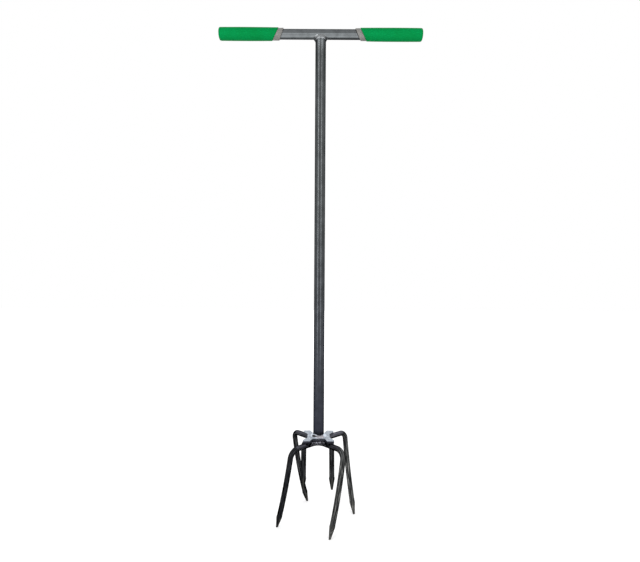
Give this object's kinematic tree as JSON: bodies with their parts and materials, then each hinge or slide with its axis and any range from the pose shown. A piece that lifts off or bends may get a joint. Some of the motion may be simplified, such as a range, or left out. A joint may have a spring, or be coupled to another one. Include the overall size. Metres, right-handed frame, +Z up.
{
  "type": "claw cultivator",
  "caption": "T-handled garden claw cultivator: tubular pole and crossbar with moulded grips, notched head plate and bent rods ending in forged points.",
  "frame": {"origin": "on the ground plane that the outer tine tips stand on, under the axis of the pole", "axes": "+Z up along the pole, X along the crossbar with -X at the user's left grip as seen from the front, -Y towards the front of the picture"},
  "size_m": [0.4308, 0.1542, 1.0388],
  "materials": {
    "steel_paint": "hammered grey paint, semi-gloss",
    "tine_lacquer": "thin black lacquer, semi-gloss",
    "plate_zinc": "galvanised, dull",
    "weld_metal": "bare weld bead",
    "grip_green": "moulded, satin",
    "collar_grey": "moulded, satin"
  },
  "bodies": {
    "root": {"crossbar_tube": "steel_paint", "pole_tube": "steel_paint", "crossbar_weld": "steel_paint", "left_grip": "grip_green", "right_grip": "grip_green", "left_grip_collar": "collar_grey", "right_grip_collar": "collar_grey", "head_plate": "plate_zinc", "pole_foot_weld": "weld_metal", "front_tine_rod": "tine_lacquer", "rear_tine_rod": "tine_lacquer", "inner_tine_rod": "tine_lacquer", "front_rod_weld_left": "tine_lacquer", "front_rod_weld_right": "tine_lacquer", "rear_rod_weld_left": "tine_lacquer", "rear_rod_weld_right": "tine_lacquer", "inner_rod_weld_left": "tine_lacquer", "inner_rod_weld_right": "tine_lacquer"}
  },
  "joints": []
}
